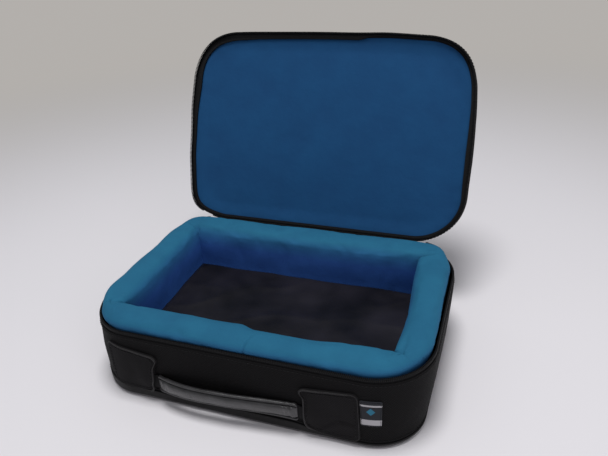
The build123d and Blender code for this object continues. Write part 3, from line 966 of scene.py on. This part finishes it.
def padded_wall(side):
    first, last, start, straight, end = PAD_SIDES[side]
    seam = {first: start, last: end}
    rows, ground = [], []
    for origin, angle, corner, share in pad_columns(side):
        direction = Vector((*around(angle), 0))
        reach = to_outline(origin, direction, lining_inset + 0.1)
        turned = abs(angle - seam[corner]) if corner else None
        stretch = 1 + 0.45 * smooth(0, 1, 1 - turned / abs(straight - seam[corner])) if corner else 1.0
        forms = zip(CORNER_FORMS[first][:3], CORNER_FORMS[last])
        inner_round, outer_round, puff = (a * (1 - share) + b * share for a, b in forms)
        row = []
        for distance, height in pad_profile(reach, inner_round, outer_round, stretch):
            p = origin + direction * distance
            top = smooth(pad_top - 14, pad_top - 2, height)
            near_rim = smooth(reach - 22, reach - 6, distance)
            near_edge = 1 - smooth(0, 14, distance)
            belly = math.sin(math.pi * clamp((height - floor_top) / (pad_top - floor_top)))
            lift = top * (0.55 * soft(p.x, p.y, 0, 34.0, 1.0) + 0.2 * soft(p.x, p.y, 0, 11.0, 4.0))
            lift += 0.5 * puff * near_rim * top
            out = puff * near_rim * bump(height, pad_top - 5, 5.5)
            out -= (1 - smooth(0, 6, distance)) * (0.6 * soft(p.x, p.y, height, 48.0, 6.0) + 1.0 * belly)
            if corner:
                depth, length = CORNER_FORMS[corner][3:]
                aside = distance * math.sin(math.radians(min(turned, 60)))
                fade = 1 - smooth(length * 0.55, length, distance)
                lift -= depth * (0.15 + 0.85 * fade) * bump(aside, 0, 1.5) * top
            if side == "front":
                groove = bump(p.x, groove_start + 4.5 + 0.3 * (reach - distance - 12), 1.0)
                groove *= smooth(reach - 18, reach - 10, distance)
                lift -= 0.7 * groove * top
                out += 1.8 * bump(p.x, 10, 90) * near_rim * bump(height, pad_top - 6, 6) - 1.0 * groove
            if side == "right":
                middle = bump(origin.y, -32, 34)
                out -= 5.0 * smooth(-10, opening_rear, origin.y) * (1 - smooth(0, 20, distance))
                out += 2.4 * middle * (1 - smooth(0, 24, distance)) + 1.4 * middle * near_rim * top
            if side == "rear":
                out += 2.0 * smooth(60, opening_right, origin.x) * near_edge
                out += 3.0 * (1 - smooth(opening_left, -60, origin.x)) * near_edge * top
            full = mound(p, (157, 102), 17) + 1.5 * mound(p, (-158, 103), 19)
            lift += min((2.7 if p.x > 0 else 1.6) * full, 2.7) * top
            out += 3.6 * full * near_rim * top
            point = Vector((p.x, p.y, height + lift)) + direction * out
            point += front_edge_shift(point)
            row.append(point + (base_sway(point) - point) * smooth(0.5, 1.0, distance / reach))
        rows.append(row)
        ground.append(origin + direction * reach * 0.5)
    across = lengths(rows[len(rows) // 2], closed=True)
    pad = lofted(f"padded_wall_{side}", rows, across, lengths(ground), closed=False, sharp_angle=70)

    def hold(point):
        edge = from_edge(point.x, point.y, lining_inset)
        weight = (1 - smooth(1.0, 3.5, edge)) * (1 - smooth(pad_top - 16, pad_top - 6, point.z))
        weight = max(weight, 1 - smooth(floor_top - 2, floor_top + 10, point.z))
        for corner in (first, last):
            offset = point - PAD_CORNERS[corner]
            c, s = around(seam[corner])
            weight = max(weight, 1 - smooth(0.8, 2.4, abs(offset.x * s - offset.y * c)))
        return weight

    def slack(point):
        plan = Vector((point.x, point.y, 0))
        return max(bump((plan - PAD_CORNERS[corner]).length, 8, 22) for corner in (first, last))

    settle(pad, hold, slack, pressure=2.2, growth=(0.004, 0.03), most=2.4)
    dress(pad, pad_blue, "base", "blue_lining", f"pad_cover_{side}", f"pad_foam_{side}")
    middle = (PAD_CORNERS[first] + PAD_CORNERS[last]) / 2
    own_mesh(pad)


# Floor of the cavity
def cavity_floor(gap=0.6):
    left, right = opening_left + gap, opening_right - gap
    middle = (left + right) / 2
    front, rear = opening_front + gap, opening_rear - gap

    def top(x, y):
        x = x + middle
        along, across = 0.83 * x + 0.56 * y, 0.83 * y - 0.56 * x
        folds = soft(along * 0.8, across * 1.5, 0, 58.0, 2.0)
        ridge = max(0.0, 1 - 3.2 * abs(soft(along * 0.7, across * 1.3, 0, 74.0, 11.0)))
        fine = soft(along, across * 1.6, 0, 15.0, 5.0)
        tuck = -2.2 * (1 - smooth(0, 5, min(x - left, right - x, y - front, rear - y)))
        swell = 2.4 * bump(x + 0.8 * y, 70, 20) * smooth(30, 70, x) * bump(y, -30, 30)
        return floor_top + 0.1 + 1.3 * folds + 1.0 * ridge**2 + 0.1 * fine + swell + tuck

    rows, reach = eased(front, rear, 80), (right - left) / 2
    floor = panel("cavity_floor", lambda y: reach, rows, 130, top, lambda x, y: wall_bottom - 0.7)
    for vertex in floor.data.vertices:
        vertex.co.x += middle * MM
    dress(floor, floor_nylon, "base", "nylon", "floor_cover", "floor_foam")


# Lid
def edging_width(point):
    """How far in from the lid's edge its black edging reaches: it is uneven, as hand sewing is."""
    x, y = point.x, point.y
    normal = outward_from_wall(point).normalized()
    side = 5.2 + 2.4 * bump(y, 15, 50) if x > 0 else 5.8 + 3.8 * bump(y, -55, 42)
    end = 4.8 if y > 0 else 4.4 + 3.8 * (1 - smooth(34, 56, x)) + 2.0 * bump(x, -140, 45)
    return normal.x**2 * side + normal.y**2 * end + 0.25 * soft(x, y, 0, 14.0, 9.0)


def lid_lining(inset=3.4):
    half_y = case_depth / 2 - inset

    def face(x, y):
        edge = from_edge(x, y, 0)
        width = edging_width(Vector((x, y, rim_height + 9.0)))
        fold = 2.0 * (1 - smooth(6, 24, edge))
        tuck = 1.5 * (1 - smooth(width - 1.8, width + 0.9, edge))
        pucker = 0.4 * soft(x, y, 0, 10.0, 5.0) * (1 - smooth(5, 22, edge)) * smooth(width, width + 3, edge)
        swell = 0.5 * soft(x, y, 0, 62.0, 2.0) + 0.15 * soft(x, y, 0, 19.0, 7.0)
        return rim_height + lining_face + 0.8 - fold + tuck + pucker + swell * smooth(8, 34, edge)

    rows, back = eased(-half_y, half_y, 96), rim_height + lining_face + 7.0
    lining = panel("lid_lining_panel", half_width_at(inset), rows, 140, lambda x, y: back, face, lid=True)
    dress(lining, lid_blue_painted_shade, "lid", "lid_lining", "lid_lining", "lid_foam")


def lid_top_cover():
    inset = 2 * lid_piping_radius - 0.6
    half_y = case_depth / 2 - inset

    def outer(x, y):
        edge = from_edge(x, y, inset)
        dents = 0.8 * soft(x, y, 0, 48.0, 12.0) + 0.3 * soft(x, y, 0, 16.0, 3.0)
        crown = 1.2 * smooth(0, 3, edge) + 2.4 * smooth(0, 55, edge)
        return lid_top - 1.6 + crown + dents * smooth(0, 12, edge)

    rows, back = eased(-half_y, half_y, 70), lid_top - 3.2
    cover = panel("lid_top_cover", half_width_at(inset), rows, 100, outer, lambda x, y: back, lid=True)
    dress(cover, cloth, "lid", "woven_cover", "lid_cover")


def lid_edge():
    low = rim_height + 6.0
    high = lid_top - 2 * lid_piping_radius - 0.1
    section = divided(rounded_section(0.05, lining_inset, low + 0.6, high, 0.5, 3), 3.0)
    wall = ring("lid_wall", all_columns(4.0), section, lid=True)
    dress(wall, cloth, "lid", "woven_cover", "lid_wall_cover", "lid_wall_board")

    def uneven(point, inset, height):
        return smooth(binding_outer + 0.6, binding_inner, inset) * (edging_width(point) - binding_inner)

    section = divided(rounded_section(binding_outer, binding_inner, low - 0.7, low + 2.0, 0.55), 1.0)
    edging = ring("lid_binding_tape", all_columns(3.0), section, lid=True, shift=uneven)
    dress(edging, binding_tape, "lid", "binding", "lid_binding")
    rear_edge("lid_rear_edge", rim_height + chain_near, low + 1.0, 19.0, "lid")


# Hinge strip
def hinge_cloth(reach=20.0, thickness=1.2, fold_gap=1.6, count=60):
    """A cloth strip down the rear wall, over the fold and along the lid."""
    low, high = node_box("hinge_strip")
    face = case_depth / 2 + 0.1
    sections = []
    steps = [(reach - fold_gap) * i / 11 for i in range(12)]
    for y in (face, face + thickness):
        side = [Vector((0, y, rim_height - reach + step)) for step in steps]
        sections.append(side + [opened(Vector((0, y, rim_height + fold_gap + step))) for step in steps])
    loop = sections[0] + sections[1][::-1]
    along = [(high.x - low.x) * j / count for j in range(count + 2)]
    rows = [[Vector((low.x + x, p.y, p.z)) for p in loop] for x in along[:-1]]
    strip = lofted("hinge_strip_cloth", rows, lengths(loop, closed=True), along, closed=False)
    dress(strip, cloth, None, "woven_cover", "hinge_strip")
    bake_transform(strip)


# Front: tabs, handle and label
def on_front(a, z, out):
    """A point on the front wall: along it, at a height, and how far out from it."""
    return base_sway(place(front_column(a), -out, z))


def wall_patch(name, centre, width, height, radius, rise, pull=None, lift=None):
    """A patch sewn to the front wall. rise gives how proud it stands, at an inset from its edge."""
    step, back = 2.5, 0.15
    insets = [0.0, 0.25, 0.6, 1.0, 1.5, 2.0, 2.5, 3.0, 3.5, 4.2, 5.2]
    while insets[-1] + step < min(width, height) / 2 - 0.5:
        insets.append(insets[-1] + step)
    base = rounded_loop(width, height, radius, step)
    points, places = [], []

    def add(a, z, out):
        moved = a + (pull(a, z) if pull else 0.0)
        raised = z + (lift(a, z) if lift else 0.0)
        points.append(on_front(centre[0] + moved, centre[1] + raised, out))
        places.append((a + width / 2, z + height / 2))

    for inset in insets:
        scale_x, scale_y = (width - 2 * inset) / width, (height - 2 * inset) / height
        for a, z in ((x * scale_x, y * scale_y) for x, y in base):
            add(a, z, rise(inset, a, z))
    for a, z in base:
        add(a, z, back)
    count, rows = len(base), len(insets)
    bottom = rows * count
    faces = bands(rows, count)
    faces += [((k + 1) % count, k, bottom + k, bottom + (k + 1) % count) for k in range(count)]
    faces += [tuple(range(bottom - count, bottom)), tuple(range(bottom, bottom + count))[::-1]]
    return make_object(name, points, faces, [[places[v] for v in face] for face in faces], 55)


def tab_lift(side, centre, height):
    """How a tab's edges wander: its top rises away from the mouth, its foot runs along the wall's seam."""

    def lift(a, z):
        along = centre[0] + a
        top = -1.0 + 5.6 * (along - 64) / 52 if side > 0 else 5.5 * (-88 - along) / 40
        foot = foot_height(along) + 0.4 - (centre[1] - height / 2)
        return top * smooth(-height * 0.1, height / 2, z) + foot * (1 - smooth(-height / 2, 0, z))

    return lift


def tab_rise(side, width, centre):
    """How proud a tab stands: thin at its far edge, lifted over the strap near its mouth."""

    def rise(inset, a, z):
        near = width / 2 + a * side
        lifted = (1 - smooth(12, 32, near)) * (0.2 + 0.8 * bump(z, handle_height - centre[1], 13))
        puckers = 0.35 * soft(a * 2.2, z, side, 9.0, 2.0) * (1 - smooth(4, 26, near))
        cloth_rise = 1.3 + 2.6 * lifted + puckers + 0.25 * soft(a, z, side, 14.0, 2.0)
        if side > 0:
            along, height = centre[0] + a, centre[1] + z
            arch = 28.8 - 0.0275 * (along - 106) ** 2
            here = smooth(80, 88, along) * (1 - smooth(111, 118, along))
            cloth_rise += here * (0.7 * bump(height, arch - 3.5, 4.0) - 1.0 * bump(height, arch, 1.3))
        return 0.2 + max(cloth_rise, 0.3) * smooth(-0.2, 1.2, inset)

    return rise


def mouth_pull(side, width):
    """How far the mouth of a tab is drawn back where it goes over the strap, leaving an ear above."""

    def pull(a, z):
        if side > 0:
            back = 5.0 * (1 - smooth(13, 25, z))
        else:
            back = -2.1 + 4.8 * (1 - smooth(9, 24, z)) + 2.2 * smooth(0, 14, -z)
        return side * back * (1 - smooth(0, 20, width / 2 + a * side))

    return pull


def handle_tab(name, side):
    mouth = mouth_left if side < 0 else mouth_right
    ends = wall_distance(mouth), wall_distance(mouth + side * tab_width)
    width, height = abs(ends[1] - ends[0]), tab_high - tab_low
    middle = (sum(ends) / 2, (tab_low + tab_high) / 2)
    rise, pull, lift = tab_rise(side, width, middle), mouth_pull(side, width), tab_lift(side, middle, height)
    tab = wall_patch(f"handle_tab_{name}", middle, width, height, 7.0, rise, pull, lift)
    dress(tab, tab_cloth_painted_light, "base", "woven_cover", f"handle_tab_{name}")

    rows, cord, sides = [], 0.85, 10
    for a, z in rounded_loop(width - 2.2, height - 2.2, 6.0, 1.6):
        far = smooth(width / 2 - 14, width / 2 - 3, a * side)
        foot = smooth(height / 2 - 12, height / 2 - 3, -z) * smooth(6, 16, width / 2 + a * side)
        bold = 1 - 0.62 * max(far, foot)
        level = rise(1.2, a, z) + 0.35 * bold
        row = []
        for c, s in (around(360 * k / sides) for k in range(sides)):
            along = a * (1 + cord * bold * c / (width / 2)) + pull(a, z)
            up = z * (1 + cord * bold * c / (height / 2)) + lift(a, z)
            row.append(on_front(middle[0] + along, middle[1] + up, level + 0.75 * bold * s))
        rows.append(row)
    along = lengths([row[0] for row in rows], closed=True)
    edging = lofted(f"handle_tab_edging_{name}", rows, [0.9 * k for k in range(sides + 1)], along)
    dress(edging, tab_binding_tape, "base", "binding", f"handle_tab_binding_{name}")

    inner = rounded_loop(width - 8.4, height - 8.4, 4.5, 2.0)
    points = []
    for a, z in inner + inner[:1]:
        along, up = middle[0] + a + pull(a, z), middle[1] + z + lift(a, z)
        points.append(on_front(along, up, rise(4.2, a, z) + 0.05))
    dress(stitches(f"handle_tab_stitches_{name}", points), thread, "base", "woven_cover")


grip_left, grip_right = mouth_left + 0.6, mouth_right + 0.3
grip_centre = (grip_left + grip_right) / 2
grip_half = (grip_right - grip_left) / 2
grip_half_height = 10.5


def bow(x):
    """How far out the handle's middle line lies, at a distance from its centre."""
    share = x / grip_half
    return -case_depth / 2 - 2.3 - 7.2 * (1 - share * share) * (1 - 0.65 * share)


def grip_point(x, out, up):
    """A point of the sleeve. Its middle droops: the lower edge swings in under the upper one."""
    c, s = around(11.0 * (1 - (x / grip_half) ** 2) ** 0.7)
    dz = up - grip_half_height
    z = handle_height + grip_half_height + dz * c - out * s
    return Vector((grip_centre + x, bow(x) - out * c - dz * s, z - 1.2 * smooth(0.1, 0.7, -x / grip_half)))


def grip_outline():
    """The sleeve's section: how far out, how high as a share of its half height, and whether it is padded."""
    cord_z, cord_radius = 0.885, 1.2
    edge = []
    for c, s in (around(90 - 190 * i / 7) for i in range(8)):
        edge.append((0.2 + cord_radius * c, cord_z + cord_radius / grip_half_height * s))
    edge += [(-0.7, 0.74), (-0.8, 0.7)]
    bulge = ((-0.7, 0.66), (0.9, 0.635), (2.1, 0.58), (3.0, 0.47), (3.5, 0.33), (3.75, 0.17), (3.8, 0.02))
    front = [(out, z, False) for out, z in edge] + [(out, z, True) for out, z in bulge]
    front += [(out, -z, padded) for out, z, padded in reversed(front)]
    return front + [(-0.6 * max(out, 0.0) - 1.2, z, padded) for out, z, padded in reversed(front[1:-1])]


def grip_sleeve(steps=190):
    """The vinyl sleeve: a padded bulge between two corded edges, pinched at its ends."""
    outline, rows = grip_outline(), []
    for i in range(steps + 1):
        x = -grip_half + 2 * grip_half * i / steps
        from_end = grip_half - abs(x)
        pinches = 0.3 * bump(x, grip_half - 9, 2.2) + 0.2 * bump(x, 9 - grip_half, 3.0)
        fill = smooth(0.5, 6, from_end) * (1 - pinches)
        closing, rounding = 0.45 + 0.55 * round_end(from_end, 1.5), 0.78 + 0.22 * round_end(from_end, 3.5)
        row = []
        for t, z, padded in outline:
            thick = t * (0.3 + 0.7 * fill) if padded and t > 0 else t
            ripple = 0.42 * soft(x * 0.35, z * 7, t, 5.5, 3.0) + 0.3 * soft(x, z * 9, t, 13.0, 8.0)
            gather = 1.3 * soft(x * 1.6, z * 6, 0, 4.5, 9.0) * (1 - smooth(7, 20, from_end))
            wrinkle = (ripple + gather) * smooth(0.8, 2.5, abs(t)) * (0.2 + 0.8 * fill)
            out = (thick + (wrinkle if t > 0 else -wrinkle)) * closing
            row.append(grip_point(x, out, z * rounding * grip_half_height))
        rows.append(row)
    across = lengths(rows[steps // 2], closed=True)
    along = [2 * grip_half * i / steps for i in range(steps + 2)]
    sleeve = lofted("grip_sleeve", rows, across, along, closed=False, sharp_angle=80)
    dress(sleeve, vinyl, "handle", "vinyl", "handle_sleeve", "handle_padding", "handle_strap")
    # Stitches in the sleeve's grooves, near-black so they also paint the grooves' shade.
    for name, sign in (("upper", 1), ("lower", -1)):
        count = int(2 * grip_half - 9)
        points = [grip_point(-grip_half + 5 + i, -0.5, sign * 0.715 * grip_half_height) for i in range(count)]
        line = stitches(f"grip_stitches_{name}", points, lambda p: Vector((0, -1, 0)), 3.4, 3.2, 0.5)
        dress(line, painted_shade_black, "handle", "vinyl")


def strap_ends(steps=30):
    """The strap's ends, from the sleeve into the tabs' pockets."""
    front = [(0.7, 7.7), (0.8, 7.1), (0.8, -7.1), (0.7, -7.7)]
    section = front + [(-out, -z) for out, z in front]
    for name, side, mouth in (("left", -1, mouth_left), ("right", 1, mouth_right)):
        start = grip_centre + side * (grip_half - 2.5)
        end = mouth + side * 22.0
        level = bow(side * (grip_half - 2.5))
        rows = []
        for i in range(steps + 1):
            x = lerp(start, end, i / steps)
            y = lerp(level, -case_depth / 2 - 1.1, smooth(side * start, side * mouth + 1.0, side * x))
            rows.append([Vector((x, y - out, handle_height + z)) for out, z in section])
        along = [abs(end - start) * i / steps for i in range(steps + 2)]
        across = [0, 1, 18, 19, 20, 21, 38, 39, 40]
        strap = lofted(f"strap_end_{name}", rows, across, along, closed=False)
        dress(strap, strap_web, None, "webbing", f"handle_strap_end_{name}")
        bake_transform(strap)


def label_patch():
    a0, a1 = wall_distance(label_start), wall_distance(label_end)
    width, height = a1 - a0, label_high - label_low
    middle = ((a0 + a1) / 2, (label_low + label_high) / 2)

    def rise(inset, a, z):
        return 0.2 + 0.75 * smooth(-0.2, 0.5, inset) + 0.1 * soft(a, z, 0, 9.0, 2.0)

    dress(wall_patch("woven_label", middle, width, height, 1.2, rise), label_face, "base", "label", "label")
    loop = rounded_loop(width - 2.2, height - 2.2, 0.6, 2.0)
    points = [on_front(middle[0] + a, middle[1] + z, 0.98) for a, z in loop + loop[:1]]
    dress(stitches("label_stitches", points, step=2.4, length=1.7, radius=0.22), thread, "base", "label")


# Parts of the construction that keep their own shape
def dress_kept_nodes():
    for name, obj in frame["nodes"].items():
        if name.endswith("_board"):
            set_material(obj, board)
        elif "foam" in name or name == "handle_padding":
            set_material(obj, foam)
        elif name.startswith(("slider", "pull_tab")):
            set_material(obj, dark_metal)
        elif name == "handle_strap":
            set_material(obj, strap_web)


# Stage, camera and light
CAMERA_PLACE = Vector((219.88, -500.93, 447.36))
CAMERA_YAW, CAMERA_PITCH, CAMERA_ROLL = 20.464, 28.582, -3.292
CAMERA_LENS = 35.613
BACKGROUND = (0.45, 0.43, 0.41, 1)


def place_camera():
    yaw, pitch, roll = (math.radians(v) for v in (CAMERA_YAW, CAMERA_PITCH, CAMERA_ROLL))
    forward = Vector((-math.sin(yaw) * math.cos(pitch), math.cos(yaw) * math.cos(pitch), -math.sin(pitch)))
    right = Vector((math.cos(yaw), math.sin(yaw), 0))
    up = right.cross(forward)
    rolled_right = math.cos(roll) * right + math.sin(roll) * up
    rolled_up = -math.sin(roll) * right + math.cos(roll) * up
    data = bpy.data.cameras.new("camera")
    data.sensor_width = 36
    data.lens = CAMERA_LENS
    data.clip_start = 0.01
    camera = bpy.data.objects.new("camera", data)
    turn = Matrix((rolled_right, rolled_up, -forward)).transposed().to_4x4()
    camera.matrix_world = Matrix.Translation(CAMERA_PLACE * MM) @ turn
    bpy.context.collection.objects.link(camera)
    bpy.context.scene.camera = camera


def area_light(name, place_at, target, size, power, colour=(1, 1, 1)):
    data = bpy.data.lights.new(name, "AREA")
    for key, value in {"shape": "DISK", "size": size, "energy": power, "color": colour}.items():
        setattr(data, key, value)
    light = bpy.data.objects.new(name, data)
    light.location = place_at
    light.rotation_euler = (Vector(target) - Vector(place_at)).to_track_quat("-Z", "Y").to_euler()
    bpy.context.collection.objects.link(light)


def mix_shaders(tree, output, *sockets):
    """Links a share and two shaders, mixed by it, to an output."""
    mix = tree.nodes.new("ShaderNodeMixShader")
    for socket, mix_input in zip(sockets, mix.inputs):
        tree.links.new(socket, mix_input)
    tree.links.new(mix.outputs[0], tree.nodes[output].inputs["Surface"])


def pale_floor():
    """A plain pale floor that fades far away into an even background, for the camera alone."""
    surface = Surface("pale_floor", (0.79, 0.77, 0.80), 0.6, specular=0.2)
    distance = surface.node("ShaderNodeVectorMath", operation="LENGTH")
    surface.fill(distance.inputs, [surface.spot])
    fade = {"Value": distance.outputs["Value"], "From Min": 0.45, "From Max": 1.6}
    far = surface.node("ShaderNodeMapRange", interpolation_type="SMOOTHSTEP", **fade)
    rays = surface.node("ShaderNodeLightPath")
    share = surface.maths("MULTIPLY", far.outputs[0], rays.outputs["Is Camera Ray"])
    even = surface.node("ShaderNodeEmission", Strength=1.0)
    even.inputs["Color"].default_value = BACKGROUND
    mix_shaders(surface.tree, "Material Output", share, surface.shader.outputs[0], even.outputs[0])
    return surface.material


def stage():
    bpy.ops.mesh.primitive_plane_add(size=12, location=(0, 0, 0))
    floor = bpy.context.object
    floor.name = "floor"
    floor.data.materials.append(pale_floor())
    world = bpy.data.worlds.new("studio")
    world.use_nodes = True
    tree = world.node_tree
    light, seen = tree.nodes["Background"], tree.nodes.new("ShaderNodeBackground")
    for shader, colour, strength in ((light, (0.95, 0.97, 1.0, 1), 0.32), (seen, BACKGROUND, 1.0)):
        shader.inputs["Color"].default_value = colour
        shader.inputs["Strength"].default_value = strength
    rays = tree.nodes.new("ShaderNodeLightPath")
    mix_shaders(tree, "World Output", rays.outputs["Is Camera Ray"], light.outputs[0], seen.outputs[0])
    bpy.context.scene.world = world
    area_light("overhead", (0.05, -0.12, 1.7), (0, 0, 0.05), 0.6, 18.5)
    area_light("front_fill", (1.4, -1.15, 0.8), (0, 0, 0.08), 1.2, 5.2, (1.0, 0.95, 1.0))


# The case
base_wall()
base_edge()
foot_strip()
piping_ring("bottom_corded_edge", bottom_piping_radius, bottom_piping_radius, "base", "bottom_piping")
seam_along_wall("wall_seam_upper", lambda x: wall_top - 2.6, "base")
seam_along_wall("wall_seam_lower", lambda x: foot_height(x) + 3.2, "base")
zip_tape_ring("base_zip_tape", wall_top - 4.0, rim_height - 3.5, 9.0, "base", "base_zipper_tape")
base_tip = rim_height - chain_near
zip_teeth("base_zip_teeth", base_tip - chain_height, base_tip, zip_start_angle, "base", "base_zipper_chain")
zip_end_tabs()
case_bottom()
for side_name in PAD_SIDES:
    padded_wall(side_name)
cavity_floor()

lid_edge()
lid_lining()
lid_top_cover()
piping_ring("lid_corded_edge", lid_top - lid_piping_radius, lid_piping_radius, "lid", "lid_piping", lid=True)
seam_along_wall("lid_seam_lower", lambda x: rim_height + 8.6, "lid", lid=True)
lid_tape = (rim_height + 3.5, rim_height + 10.0)
zip_tape_ring("lid_zip_tape", *lid_tape, lid_zip_start_angle, "lid", "lid_zipper_tape")
lid_tip = rim_height + chain_near
zip_teeth("lid_zip_teeth", lid_tip + chain_height, lid_tip, lid_zip_start_angle, "lid", "lid_zipper_chain")
hinge_cloth()

handle_tab("left", -1)
handle_tab("right", 1)
grip_sleeve()
strap_ends()
label_patch()
dress_kept_nodes()

place_camera()
stage()
bpy.context.scene.view_settings.view_transform = "Standard"
